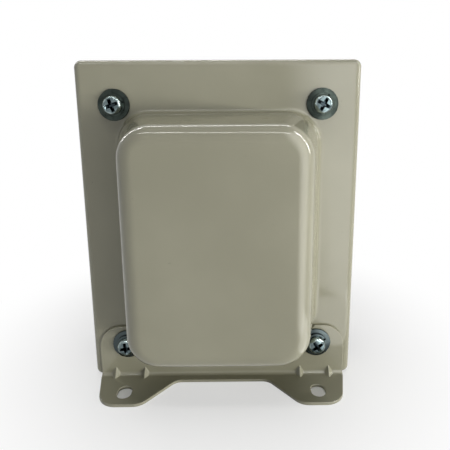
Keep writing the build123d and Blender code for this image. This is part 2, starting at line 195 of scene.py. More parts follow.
class Wire:
    """A shader socket that Python's operators work on, one Math node for each."""

    __add__ = operator("ADD")
    __radd__ = operator("ADD", swapped=True)
    __sub__ = operator("SUBTRACT")
    __rsub__ = operator("SUBTRACT", swapped=True)
    __mul__ = operator("MULTIPLY")
    __truediv__ = operator("DIVIDE")
    __pow__ = operator("POWER")
    # The remainder is never below 0, and the comparison gives 1 or 0.
    __mod__ = operator("FLOORED_MODULO")
    __lt__ = operator("LESS_THAN")

    def __init__(self, graph: "Graph", socket: bpy.types.NodeSocket) -> None:
        """Keeps the socket and the graph that its nodes go into."""
        self.graph = graph
        self.socket = socket

    def math(self, operation: str, *values: Union["Wire", Number], clamp: bool = False) -> "Wire":
        """Adds a Math node.

        Args:
            operation: The node's operation.
            values: Its inputs in order.
            clamp: Whether the result is kept from 0 to 1.

        Returns:
            The node's result.
        """
        settings = {"operation": operation, "use_clamp": clamp}
        node = self.graph.node("ShaderNodeMath", settings, dict(enumerate(values)))
        return Wire(self.graph, node.outputs[0])

    def __abs__(self) -> "Wire":
        """The absolute value."""
        return self.math("ABSOLUTE", self)

    def floor(self) -> "Wire":
        """The whole number below."""
        return self.math("FLOOR", self)

    def clamped(self) -> "Wire":
        """The value kept from 0 to 1."""
        return self.math("ADD", self, 0.0, clamp=True)


Value = Union[Wire, bpy.types.NodeSocket, Number, Sequence[float]]


class Graph:
    """The node tree of a material or a world, with a method for every kind of node."""

    def __init__(self, name: str, world: bool = False) -> None:
        """Starts an empty material, or a world, with its output node."""
        self.owner = (bpy.data.worlds if world else bpy.data.materials).new(name)
        self.owner.use_nodes = True
        self.tree = self.owner.node_tree
        self.tree.nodes.clear()
        self.output = self.tree.nodes.new("ShaderNodeOutputWorld" if world else "ShaderNodeOutputMaterial")

    def node(
        self, kind: str, settings: Optional[dict[str, Any]] = None, inputs: Optional[dict[Any, Value]] = None
    ) -> bpy.types.Node:
        """Adds a node.

        Args:
            kind: The node's type.
            settings: Its properties, set first.
            inputs: Its sockets' values or links, by name or number.

        Returns:
            The node.
        """
        made = self.tree.nodes.new(kind)
        for key, value in (settings or {}).items():
            setattr(made, key, value)
        for key, value in (inputs or {}).items():
            self.feed(made.inputs[key], value)
        return made

    def feed(self, socket: bpy.types.NodeSocket, value: Value) -> None:
        """Links or sets one input.

        Args:
            socket: The input.
            value: A wire, another node's output, a number or a colour.
        """
        if isinstance(value, Wire):
            self.tree.links.new(value.socket, socket)
        elif isinstance(value, bpy.types.NodeSocket):
            self.tree.links.new(value, socket)
        elif hasattr(value, "__len__") and socket.type == "RGBA" and len(value) == 3:
            socket.default_value = (*value, 1.0)
        else:
            socket.default_value = value

    def place(self, scale: Sequence[float] = (1.0, 1.0, 1.0)) -> Wire:
        """Object coordinates, scaled by a Mapping node.

        Args:
            scale: Factor on each axis.

        Returns:
            The coordinates.
        """
        coordinates = self.node("ShaderNodeTexCoord").outputs["Object"]
        mapping = self.node("ShaderNodeMapping", None, {"Vector": coordinates, "Scale": scale})
        return Wire(self, mapping.outputs[0])

    def noise(self, scale: float, detail: float, place: Optional[Wire] = None) -> Wire:
        """Noise texture.

        Args:
            scale: Its scale, in cells per metre.
            detail: Its levels of detail.
            place: Coordinates, or Object coordinates if none are given.

        Returns:
            The noise, from 0 to 1 and about 0.5 on average.
        """
        inputs = {"Vector": place or self.place(), "Scale": scale, "Detail": detail}
        return Wire(self, self.node("ShaderNodeTexNoise", None, inputs).outputs[0])

    def axis(self, name: str) -> Wire:
        """One of the Object coordinates, "X", "Y" or "Z", in metres."""
        split = self.node("ShaderNodeSeparateXYZ", None, {0: self.place()})
        return Wire(self, split.outputs[name])

    def step(self, value: Wire, low: float, high: float) -> Wire:
        """Smooth step.

        Args:
            value: What is read.
            low: Where the step starts, at 0.
            high: Where it ends, at 1.

        Returns:
            The step.
        """
        settings = {"interpolation_type": "SMOOTHSTEP"}
        node = self.node("ShaderNodeMapRange", settings, {"Value": value, "From Min": low, "From Max": high})
        return Wire(self, node.outputs[0])

    def mix(self, share: Wire, first: Value, second: Value) -> Wire:
        """Mixes two colours.

        Args:
            share: How much of the second colour shows.
            first: Colour at 0.
            second: Colour at 1.

        Returns:
            The mixed colour.
        """
        node = self.node("ShaderNodeMix", {"data_type": "RGBA"}, {0: share, 6: first, 7: second})
        return Wire(self, node.outputs[2])

    def bump(self, height: Wire, depth: float, under: Optional[Wire] = None) -> Wire:
        """Turns a height into a normal.

        Args:
            height: The height, from 0 to 1.
            depth: How deep 1 is, in metres.
            under: The normal that it is laid over.

        Returns:
            The normal.
        """
        inputs = {"Height": height, "Distance": depth, "Strength": 1.0}
        if under is not None:
            inputs["Normal"] = under
        return Wire(self, self.node("ShaderNodeBump", None, inputs).outputs[0])

    def seen(self) -> Wire:
        """1 for the camera's rays and for those in gloss and glass, or else 0."""
        path = self.node("ShaderNodeLightPath")
        camera, glossy, transmission = (Wire(self, path.outputs[kind]) for kind in SEEN_RAYS)
        return (camera + glossy + transmission).clamped()

    def finish(self, shader: bpy.types.Node) -> Owner:
        """Ends the tree with a shader.

        Args:
            shader: The shader's node.

        Returns:
            The material or the world.
        """
        self.feed(self.output.inputs["Surface"], shader.outputs[0])
        return self.owner

    def blend(self, share: Wire, first: bpy.types.Node, second: bpy.types.Node) -> Owner:
        """Ends the tree with a mix of two shaders.

        Args:
            share: How much of the second one shows.
            first: Shader at 0.
            second: Shader at 1.

        Returns:
            The material or the world.
        """
        inputs = {0: share, 1: first.outputs[0], 2: second.outputs[0]}
        return self.finish(self.node("ShaderNodeMixShader", None, inputs))

    def surface(self, **sockets: Value) -> bpy.types.Material:
        """Ends the material with a Principled surface.

        Args:
            sockets: Its inputs, with an underscore for each space in a name.

        Returns:
            The material.
        """
        named = {key.replace("_", " "): value for key, value in sockets.items()}
        return self.finish(self.node("ShaderNodeBsdfPrincipled", None, named))


@dataclass(frozen=True)
class StoveEnamel:
    """Gloss enamel sprayed on sheet steel and stoved.

    Attributes:
        colour: The enamel.
        shade: The same where the film lies thicker.
        speck: Dust specks in it.
        roughness: Roughness of its top.
        ripple: Height of the slow waves in the film.
        peel: Height of its fine orange peel.
    """

    colour: Colour = linear(141, 139, 120)
    shade: Colour = linear(133, 131, 112)
    speck: Colour = linear(96, 92, 76)
    roughness: float = 0.07
    ripple: float = 0.07 * MM
    peel: float = 0.004 * MM

    def material(self, name: str) -> bpy.types.Material:
        """Builds the enamel."""
        graph = Graph(name)
        clouds = graph.step(graph.noise(22.0, 3.0), 0.3, 0.7)
        specks = graph.step(graph.noise(900.0, 1.0), 0.80, 0.84)
        wave = graph.bump(graph.noise(38.0, 1.0), self.ripple)
        return graph.surface(
            Base_Color=graph.mix(specks * 0.5, graph.mix(clouds, self.colour, self.shade), self.speck),
            Roughness=clouds * 0.05 + self.roughness,
            IOR=1.5,
            Normal=graph.bump(graph.noise(1500.0, 1.0), self.peel, wave),
        )


@dataclass(frozen=True)
class PlatedSteel:
    """Bright or dark zinc plate on steel.

    Attributes:
        colour: The plate.
        tarnish: The plate where it has dulled.
        roughness: Roughness of the bright plate.
        dulled: How much the dulled plate adds to it.
        grain: Cells of the tarnish per metre.
        lower: A lighter plate painted on the lower pieces, a painted reflection, as the lower washers show a
            brighter reflection than the upper ones.
        border: Heights from which the plate goes from the lower one to the other.
    """

    colour: Colour
    tarnish: Colour
    roughness: float = 0.2
    dulled: float = 0.2
    grain: float = 900.0
    lower: Optional[Colour] = None
    border: tuple[float, float] = (50.0 * MM, 70.0 * MM)

    def _plate(self, graph: Graph) -> tuple[Wire, Wire]:
        """The plate's colour with its tarnish, and its roughness."""
        patches = graph.step(graph.noise(self.grain, 3.0), 0.38, 0.66)
        return graph.mix(patches, self.colour, self.tarnish), patches * self.dulled + self.roughness

    def material(self, name: str) -> bpy.types.Material:
        """Builds the plate."""
        graph = Graph(name)
        colour, roughness = self._plate(graph)
        # Painted reflection: the lower pieces get the lighter plate, and the upper ones the darker one.
        if self.lower is not None:
            colour = graph.mix(graph.step(graph.axis("Z"), *self.border), self.lower, colour)
        scratches = graph.noise(2600.0, 2.0, graph.place((1.0, 1.0, 0.15)))
        normal = graph.bump(scratches, 0.006 * MM)
        return graph.surface(Base_Color=colour, Metallic=1.0, Roughness=roughness, Normal=normal)


@dataclass(frozen=True)
class ScrewSteel(PlatedSteel):
    """Zinc plate of the through screws, with painted shade: darker over each head and darkest down in the cross
    recess.

    Attributes:
        crown: Y of the tops of the upper front heads.
        bracket: How much further out the lower heads sit.
        head: Depths under the crown where the painted head shade ends, so that the rear ends stay bright.
        head_shade_radius: Distances from the axis where the painted head shade ends.
        recess: Depths where the painted shade of the recess sets in.
        painted_head_shade: Painted shade, a darker plate over the head in place of the dimmer reflection that it
            shows.
        dark: Painted shade, a darker plate down in the recess where shade falls.
    """

    crown: float = -37.2 * MM
    bracket: float = 1.2 * MM
    head: tuple[float, float] = (2.4 * MM, 3.0 * MM)
    head_shade_radius: tuple[float, float] = (2.3 * MM, 3.1 * MM)
    recess: tuple[float, float] = (0.3 * MM, 0.9 * MM)
    # Painted shade: the head's plate is darkened, and darker still down in the recess.
    painted_head_shade: Colour = linear(78, 92, 96)
    dark: Colour = linear(30, 38, 44)

    def material(self, name: str) -> bpy.types.Material:
        """Builds the plate, with painted shade darker near each axis."""
        graph = Graph(name)
        across = abs(graph.axis("X")) - SCREW_PITCH[0]
        rise = graph.axis("Z") - CORE_HEIGHT
        up = abs(rise) - SCREW_PITCH[1]
        radius = (across * across + up * up) ** 0.5
        depth = graph.axis("Y") - self.crown + (rise < 0.0) * self.bracket
        # Painted shade over the heads and down in the recesses, by depth and by distance from each axis.
        head_shade_mask = (1.0 - graph.step(depth, *self.head)) * (1.0 - graph.step(radius, *self.head_shade_radius))
        recess_shade_mask = head_shade_mask * graph.step(depth, *self.recess)
        plate, roughness = self._plate(graph)
        colour = graph.mix(recess_shade_mask * 0.85, graph.mix(head_shade_mask * 0.75, plate, self.painted_head_shade), self.dark)
        return graph.surface(Base_Color=colour, Metallic=1.0, Roughness=roughness)

@dataclass(frozen=True)
class LaminatedSteel:
    """Edges of a stack of varnished silicon-steel sheets, which lie across Y.

    Attributes:
        colour: Bare edges.
        varnish: Edges under varnish.
        gap: Joints between the sheets.
        sheet: Thickness of one sheet.
    """

    colour: Colour = linear(98, 97, 94)
    varnish: Colour = linear(80, 74, 66)
    gap: Colour = linear(26, 24, 22)
    sheet: float = 0.5 * MM

    def material(self, name: str) -> bpy.types.Material:
        """Builds the stack's edges."""
        graph = Graph(name)
        depth = graph.axis("Y") / self.sheet
        joint = 1.0 - graph.step(abs(depth % 1.0 - 0.5), 0.38, 0.5)
        # Any factor that isn't whole keeps the sheets' tones apart.
        where = graph.node("ShaderNodeCombineXYZ", None, {"X": depth.floor() * 7.31, "Y": 0.0, "Z": 0.0})
        tone = graph.node("ShaderNodeTexWhiteNoise", {"noise_dimensions": "3D"}, {"Vector": where.outputs[0]})
        sheet_tone = Wire(graph, tone.outputs["Value"])
        streaks = graph.noise(90.0, 4.0, graph.place((1.0, 6.0, 1.0)))
        varnished = graph.step(streaks + sheet_tone * 0.25, 0.48, 0.78)
        colour = graph.mix(varnished, self.colour, self.varnish)
        return graph.surface(
            Base_Color=graph.mix(1.0 - joint, colour, self.gap),
            Metallic=0.55 - varnished * 0.4,
            Roughness=0.62 - varnished * 0.24,
            Normal=graph.bump(joint, 0.06 * MM),
        )


@dataclass(frozen=True)
class Moulding:
    """Moulded or extruded plastic.

    Attributes:
        colour: The plastic.
        roughness: Its roughness.
        grain: Height of its fine grain.
    """

    colour: Colour
    roughness: float = 0.42
    grain: float = 0.02 * MM

    def material(self, name: str) -> bpy.types.Material:
        """Builds the plastic."""
        graph = Graph(name)
        flow = graph.noise(60.0, 3.0)
        grain = graph.noise(2400.0, 2.0)
        lighter = tuple(min(1.0, channel * 1.35 + 0.004) for channel in self.colour)
        return graph.surface(
            Base_Color=graph.mix(graph.step(flow, 0.35, 0.75), self.colour, lighter),
            Roughness=flow * 0.16 + (self.roughness - 0.08),
            Normal=graph.bump(grain, self.grain),
        )


@dataclass(frozen=True)
class WoundWire:
    """Layers of enamelled copper wire on the coil, wound round X.

    Attributes:
        colour: The enamelled wire.
        shade: The same where the enamel is darker.
        pitch: Distance between turns.
    """

    colour: Colour = linear(150, 78, 38)
    shade: Colour = linear(112, 52, 26)
    pitch: float = 0.9 * MM

    def material(self, name: str) -> bpy.types.Material:
        """Builds the winding."""
        graph = Graph(name)
        across = (graph.axis("X") / self.pitch) % 1.0
        crest = 1.0 - (abs(across - 0.5) * 2.0) ** 2.0
        tint = graph.noise(300.0, 2.0)
        return graph.surface(
            Base_Color=graph.mix(tint, self.colour, self.shade),
            Metallic=0.7,
            Roughness=0.5 - crest * 0.15,
            Coat_Weight=0.4,
            Normal=graph.bump(crest, 0.3 * MM),
        )


@dataclass(frozen=True)
class Paper:
    """Varnished insulating paper.

    Attributes:
        colour: The paper.
        blot: Where the varnish has soaked in.
    """

    colour: Colour = linear(188, 162, 104)
    blot: Colour = linear(150, 116, 60)

    def material(self, name: str) -> bpy.types.Material:
        """Builds the paper."""
        graph = Graph(name)
        fibre = graph.noise(1400.0, 3.0, graph.place((0.25, 1.0, 1.0)))
        blots = graph.step(graph.noise(70.0, 3.0), 0.5, 0.75)
        return graph.surface(
            Base_Color=graph.mix(blots, self.colour, self.blot),
            Roughness=0.6 - blots * 0.25,
            Normal=graph.bump(fibre, 0.05 * MM),
        )


class Finishes:
    """The finishes by the record's material slot."""

    def __init__(self) -> None:
        """Builds each finish once."""
        bright = ScrewSteel(linear(164, 177, 176), linear(112, 124, 124), 0.12, 0.12)
        # Painted reflection: the last colour lightens the lower washers, whose reflection is brighter than that
        # of the upper ones.
        dark = PlatedSteel(linear(54, 61, 57), linear(42, 48, 45), 0.2, 0.08, 400.0, linear(66, 74, 75))
        brass = PlatedSteel(linear(206, 176, 116), linear(168, 138, 84), 0.25, 0.2)
        self.by_slot: dict[str, bpy.types.Material] = {
            "paint": StoveEnamel().material("stove_enamel"),
            "lamination": LaminatedSteel().material("laminated_steel"),
            "screw_steel": bright.material("bright_zinc"),
            "washer_steel": dark.material("dark_zinc"),
            "bobbin_plastic": Moulding(linear(222, 218, 204)).material("natural_nylon"),
            "winding": WoundWire().material("enamelled_copper"),
            "paper": Paper().material("varnished_paper"),
            "sleeve": Moulding(linear(36, 36, 36)).material("insulating_tube"),
            "block_plastic": Moulding(linear(28, 28, 30), 0.46, 0.03 * MM).material("black_phenolic"),
            "terminal_brass": brass.material("tinned_brass"),
            "lead_primary": Moulding(linear(30, 30, 30), 0.3, 0.004 * MM).material("black_flex"),
            "lead_secondary": Moulding(linear(168, 28, 22), 0.3, 0.004 * MM).material("red_flex"),
        }

    def of(self, slot: str) -> bpy.types.Material:
        """The finish for one slot."""
        return self.by_slot[slot]


class Workshop:
    """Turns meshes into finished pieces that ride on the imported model."""

    def __init__(self, frame: dict[str, Any], finishes: Finishes) -> None:
        """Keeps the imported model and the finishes."""
        self.nodes: dict[str, bpy.types.Object] = frame["nodes"]
        self.slots = {row["node"]: row["material_slot"] for row in frame["record"]["subparts"]}
        self.finishes = finishes

    def finish_piece(
        self, name: str, mesh: Mesh, nodes: Iterable[str], smooth_angle: float = SMOOTH_ANGLE
    ) -> bpy.types.Object:
        """Makes an object of a mesh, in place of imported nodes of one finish.

        Args:
            name: The piece's name.
            mesh: Its mesh, in metres and in place, which is freed.
            nodes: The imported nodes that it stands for.
            smooth_angle: Edges flatter than this many degrees are shaded smooth.

        Returns:
            The object.
        """
        limit = math.radians(smooth_angle)
        for face in mesh.faces:
            face.smooth = True
        for edge in mesh.edges:
            edge.smooth = len(edge.link_faces) == 2 and edge.calc_face_angle(0.0) < limit
        piece = placed(name, mesh)
        names = list(nodes)
        slot = self.slots[names[0]]
        piece.data.materials.append(self.finishes.of(slot))
        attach(piece, "root")
        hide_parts(*names)
        LOG.info("piece %s: %d faces for %s", name, len(piece.data.polygons), ", ".join(names))
        return piece

    def merged(self, node: str) -> Mesh:
        """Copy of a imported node's mesh with its loose triangles joined.

        Args:
            node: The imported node.

        Returns:
            The copy.
        """
        same_point = 0.002 * MM
        mesh = bmesh.new()
        mesh.from_mesh(self.nodes[node].data)
        bmesh.ops.remove_doubles(mesh, verts=mesh.verts[:], dist=same_point)
        return mesh

    def smoothed(self, node: str) -> bpy.types.Object:
        """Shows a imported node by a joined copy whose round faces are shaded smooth.

        Args:
            node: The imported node.

        Returns:
            The piece.
        """
        return self.finish_piece(f"{node}_surface", self.merged(node), [node])

    def dress(self, node: str) -> None:
        """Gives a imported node, shown as it is, its finish."""
        shown = self.nodes[node]
        if not shown.material_slots:
            shown.data.materials.append(None)
        for slot in shown.material_slots:
            slot.material = self.finishes.of(self.slots[node])
        LOG.info("node %s keeps its packed shape", node)


@dataclass
class BellCover:
    """One drawn cover: folded edges, flange, flare, drafted bell and soft crown.

    Attributes:
        side: Front or rear.
        node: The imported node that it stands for.
        sheet: Thickness.
        fold_radius: Outside radius of the folded edges.
        guard: Width of the narrow bands that keep the flange flat beside a curve.
        crown_band: Width of the one round the crown.
        corner: Radius at the cover's corners, seen from the front.
        bell_half: Half sizes of the bell at the flange, in X and Z.
        base_corner: The bell's corner radius there.
        crown_corner: Its corner radius at the crown.
        drafts: Angles of its side and end walls, in degrees.
        flare: Radius between the flange and the walls.
        edge: Radius between the walls and the crown.
        corner_steps: Points round each corner.
        fold_steps: Bands round the folded edges.
        flare_steps: Bands round the flare.
        edge_steps: Bands round the crown's edge.
        wall_shares: Where the rings on the walls are, from the flare to the crown's edge.
        screw_hole: Width of a screw hole.
        window: Half width, half height and corner radius of the rear cover's window.
        window_rise: Height of the window above the core's centre.
        block_screw_x: Where the terminal block's screws go through.
        block_hole: Width of their holes.
        smooth_angle: Edges flatter than this many degrees are shaded smooth.
        ring: The newest ring of points.
    """

    side: Side
    node: str
    sheet: float = 1.2 * MM
    fold_radius: float = 2.4 * MM
    guard: float = 0.4 * MM
    crown_band: float = 0.5 * MM
    corner: float = 2.7 * MM
    bell_half: tuple[float, float] = (37.4 * MM, 44.8 * MM)
    base_corner: float = 12.0 * MM
    crown_corner: float = 11.0 * MM
    drafts: tuple[float, float] = (12.5, 5.7)
    flare: float = 1.8 * MM
    edge: float = 6.1 * MM
    corner_steps: int = 14
    fold_steps: int = 6
    flare_steps: int = 7
    edge_steps: int = 12
    wall_shares: tuple[float, ...] = (0.02, 0.5, 0.98)
    screw_hole: float = 4.6 * MM
    window: tuple[float, float, float] = (16.83 * MM, 6.0 * MM, 2.0 * MM)
    window_rise: float = 12.0 * MM
    block_screw_x: float = 20.93 * MM
    block_hole: float = 3.3 * MM
    smooth_angle: float = 50.0
    ring: list[bmesh.types.BMVert] = field(default_factory=list)

    def _outline(self, half: Sequence[float], corner: float, middle: float, turn: float, quarter: int) -> Vector:
        """One point of a rounded rectangle.

        Args:
            half: Its half sizes in X and Z.
            corner: Its corner radius.
            middle: Height of its centre.
            turn: Angle round the corner's arc, in radians.
            quarter: Which corner, counted anticlockwise from the upper right.

        Returns:
            The point, as X and Z.
        """
        sign_x = 1.0 if quarter in (0, 3) else -1.0
        sign_z = 1.0 if quarter in (0, 1) else -1.0
        centre = Vector((sign_x * (half[0] - corner), middle + sign_z * (half[1] - corner)))
        return centre + corner * Vector((math.cos(turn), math.sin(turn)))

    def _start(self, mesh: Mesh) -> None:
        """Makes the first ring and marks each point with its corner and its angle.

        Args:
            mesh: The mesh to fill.
        """
        if "turn" not in mesh.verts.layers.float.keys():
            mesh.verts.layers.float.new("turn")
            mesh.verts.layers.int.new("quarter")
        turns = mesh.verts.layers.float["turn"]
        quarters = mesh.verts.layers.int["quarter"]
        made = bmesh.ops.create_circle(mesh, segments=4 * self.corner_steps, radius=1.0, cap_ends=False)
        last = self.corner_steps - 1
        ordered = sorted(made["verts"], key=lambda vert: math.atan2(vert.co.y, vert.co.x) % math.tau)
        for index, vert in enumerate(ordered):
            quarter = index // self.corner_steps
            vert[quarters] = quarter
            vert[turns] = (quarter + (index % self.corner_steps) / last) * math.pi / 2
        self.ring = ordered

    def _move(self, mesh: Mesh, place: Callable[[float, int], Vector]) -> None:
        """Puts the newest ring in its place.

        Args:
            mesh: The mesh.
            place: Gives a point from an angle and a corner.
        """
        turns = mesh.verts.layers.float["turn"]
        quarters = mesh.verts.layers.int["quarter"]
        for vert in self.ring:
            vert.co = place(vert[turns], vert[quarters])

    def _grow(self, mesh: Mesh, place: Callable[[float, int], Vector]) -> None:
        """Extrudes the newest ring and puts the new one in its place.

        Args:
            mesh: The mesh.
            place: Gives a point from an angle and a corner.
        """
        made = bmesh.ops.extrude_edge_only(mesh, edges=self._ring_edges(mesh))
        self.ring = [item for item in made["geom"] if isinstance(item, bmesh.types.BMVert)]
        self._move(mesh, place)

    def _bell_point(self, turn: float, quarter: int, part: str, share: float, front: float) -> Vector:
        """One point of the bell, on the line from the flange up its wall to the crown.

        Args:
            turn: Angle round the corner's arc.
            quarter: Which corner.
            part: "flare", "wall" or "edge".
            share: How far along that part, from 0 to 1.
            front: Y of the flange's outer face.

        Returns:
            The point.
        """
        drafts = [math.radians(draft) for draft in self.drafts]
        crown_half = [size - BELL_DEPTH * math.tan(draft) for size, draft in zip(self.bell_half, drafts)]
        base = self._outline(self.bell_half, self.base_corner, CORE_HEIGHT, turn, quarter)
        crown = self._outline(crown_half, self.crown_corner, CORE_HEIGHT, turn, quarter)
        away = Vector((math.cos(turn), math.sin(turn)))
        draft = math.atan2((base - crown).dot(away), BELL_DEPTH)
        low = self.flare * (1 - math.sin(draft))
        high = BELL_DEPTH - self.edge * (1 - math.sin(draft))
        sweep = (math.pi / 2 - draft) * share
        if part == "flare":
            rise = self.flare * (1 - math.cos(sweep))
            centre = base.lerp(crown, self.flare / BELL_DEPTH) + away * self.flare / math.cos(draft)
            spot = centre - away * self.flare * math.sin(sweep)
        elif part == "wall":
            rise = low + (high - low) * share
            spot = base.lerp(crown, rise / BELL_DEPTH)
        else:
            rise = BELL_DEPTH - self.edge * (1 - math.sin(draft + sweep))
            centre = base.lerp(crown, 1 - self.edge / BELL_DEPTH) - away * self.edge / math.cos(draft)
            spot = centre + away * self.edge * math.cos(draft + sweep)
        return Vector((spot.x, front + self.side.outward * rise, spot.y))

    def build(self, shop: Workshop) -> bpy.types.Object:
        """Makes the cover.

        Args:
            shop: Where the piece is finished.

        Returns:
            The piece.
        """
        low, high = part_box(self.node)
        outward = self.side.outward
        rim = high.y if self.side is Side.FRONT else low.y
        crown = low.y if self.side is Side.FRONT else high.y
        front = crown - outward * BELL_DEPTH
        half = ((high.x - low.x) / 2, (high.z - low.z) / 2)
        middle = (high.z + low.z) / 2
        least_corner, below_fold = 0.3 * MM, 0.3 * MM

        def flat(inset: float, y: float) -> Callable[[float, int], Vector]:
            """Outline of the cover, moved in by the inset, at one depth."""
            sizes = (half[0] - inset, half[1] - inset)
            corner = max(self.corner - inset, least_corner)

            def place(turn: float, quarter: int) -> Vector:
                """The point at an angle and a corner."""
                spot = self._outline(sizes, corner, middle, turn, quarter)
                return Vector((spot.x, y, spot.y))

            return place

        def bell(part: str, share: float) -> Callable[[float, int], Vector]:
            """Ring round the bell."""
            return lambda turn, quarter: self._bell_point(turn, quarter, part, share, front)

        def outside(turn: float, quarter: int) -> Vector:
            """Ring on the flange, just outside the flare."""
            away = Vector((math.cos(turn), 0.0, math.sin(turn)))
            return self._bell_point(turn, quarter, "flare", 0.0, front) + away * self.guard

        mesh = bmesh.new()
        self._start(mesh)
        self._move(mesh, flat(0.0, rim))
        self._grow(mesh, flat(0.0, front - outward * (self.fold_radius + below_fold)))
        for step in range(self.fold_steps + 1):
            lean = math.pi / 2 * step / self.fold_steps
            inset = self.fold_radius * (1 - math.cos(lean))
            self._grow(mesh, flat(inset, front - outward * self.fold_radius * (1 - math.sin(lean))))
        self._grow(mesh, flat(self.fold_radius + self.guard, front))
        outer = self._ring_edges(mesh)
        self._start(mesh)
        self._move(mesh, outside)
        screws = [
            self._round(Vector((x, front, CORE_HEIGHT + z)), self.screw_hole)
            for x in (-SCREW_PITCH[0], SCREW_PITCH[0])
            for z in (-SCREW_PITCH[1], SCREW_PITCH[1])
        ]
        self._fill(mesh, [*outer, *self._ring_edges(mesh)], screws)
        for step in range(self.flare_steps + 1):
            self._grow(mesh, bell("flare", step / self.flare_steps))
        for share in self.wall_shares:
            self._grow(mesh, bell("wall", share))
        for step in range(self.edge_steps + 1):
            self._grow(mesh, bell("edge", step / self.edge_steps))
        chosen = set(self.ring)
        bmesh.ops.contextual_create(mesh, geom=self._ring_edges(mesh))
        cap = [face for face in mesh.faces if all(vert in chosen for vert in face.verts)]
        bmesh.ops.inset_region(mesh, faces=cap, thickness=self.crown_band, use_even_offset=True)
        if self.side is Side.REAR:
            edges = list(cap[0].edges)
            bmesh.ops.delete(mesh, geom=cap, context="FACES_ONLY")
            wide, high_half, corner = self.window
            place = Vector((0.0, crown, CORE_HEIGHT + self.window_rise))
            holes = [self._hole(place, wide, high_half, corner)]
            for x in (-self.block_screw_x, self.block_screw_x):
                holes.append(self._round(place + Vector((x, 0.0, 0.0)), self.block_hole))
            self._fill(mesh, edges, holes)
        bmesh.ops.recalc_face_normals(mesh, faces=mesh.faces[:])
        self._face_outwards(mesh)
        piece = shop.finish_piece(f"{self.node}_pressing", mesh, [self.node], self.smooth_angle)
        wall = piece.modifiers.new("sheet", "SOLIDIFY")
        wall.thickness = self.sheet
        wall.offset = -1.0
        wall.use_even_offset = True
        return piece

    def _ring_edges(self, mesh: Mesh) -> list[bmesh.types.BMEdge]:
        """The edges of the newest ring."""
        chosen = set(self.ring)
        return [edge for edge in mesh.edges if edge.verts[0] in chosen and edge.verts[1] in chosen]

    def _hole(self, place: Vector, wide: float, high: float, corner: float) -> list[Vector]:
        """Outline of a hole with round corners.

        Args:
            place: Its middle.
            wide: Half its width.
            high: Half its height.
            corner: Radius of its corners.

        Returns:
            The points in order.
        """
        points = []
        arc_steps = 8
        for quarter in range(4):
            for step in range(arc_steps + (corner < wide)):
                turn = math.pi / 2 * (quarter + step / arc_steps)
                spot = self._outline((wide, high), corner, 0.0, turn, quarter)
                points.append(place + Vector((spot.x, 0.0, spot.y)))
        return points

    def _round(self, place: Vector, width: float) -> list[Vector]:
        """Outline of a round hole of a width."""
        return self._hole(place, width / 2, width / 2, width / 2)

    def _fill(
        self, mesh: Mesh, edges: Sequence[bmesh.types.BMEdge], holes: Sequence[Sequence[Vector]]
    ) -> None:
        """Fills a flat area round its holes.

        Args:
            mesh: The mesh.
            edges: Edges round the area.
            holes: Outline of each hole.
        """
        bounds = list(edges)
        for hole in holes:
            points = [mesh.verts.new(point) for point in hole]
            bounds += [mesh.edges.new(pair) for pair in zip(points, points[1:] + points[:1])]
        bmesh.ops.triangle_fill(mesh, use_beauty=True, use_dissolve=False, edges=bounds)

    def _face_outwards(self, mesh: Mesh) -> None:
        """Turns the faces over if the crown's face looks at the core.

        Args:
            mesh: The open shell.
        """
        mesh.normal_update()
        outward = self.side.outward
        crown = max(mesh.faces, key=lambda face: outward * face.calc_center_median().y)
        if crown.normal.y * outward < 0:
            bmesh.ops.reverse_faces(mesh, faces=mesh.faces[:])



@dataclass
class FootBracket:
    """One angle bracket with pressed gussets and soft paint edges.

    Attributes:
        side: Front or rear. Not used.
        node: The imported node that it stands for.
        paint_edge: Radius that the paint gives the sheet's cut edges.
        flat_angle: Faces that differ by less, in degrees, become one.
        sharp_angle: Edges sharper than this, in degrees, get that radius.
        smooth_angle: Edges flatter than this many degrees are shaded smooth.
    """

    side: Side
    node: str
    paint_edge: float = 0.28 * MM
    flat_angle: float = 0.05
    sharp_angle: float = 32.0
    smooth_angle: float = 40.0

    def build(self, shop: Workshop) -> bpy.types.Object:
        """Makes the bracket.

        Args:
            shop: Where the piece is finished.

        Returns:
            The piece.
        """
        mesh = shop.merged(self.node)
        flat = math.radians(self.flat_angle)
        bmesh.ops.dissolve_limit(mesh, angle_limit=flat, verts=mesh.verts[:], edges=mesh.edges[:])
        piece = shop.finish_piece(f"{self.node}_painted", mesh, [self.node], self.smooth_angle)
        soft = piece.modifiers.new("paint_edge", "BEVEL")
        soft.width = self.paint_edge
        soft.segments = 3
        soft.limit_method = "ANGLE"
        soft.angle_limit = math.radians(self.sharp_angle)
        soft.harden_normals = True
        soft.miter_outer = "MITER_ARC"
        return piece


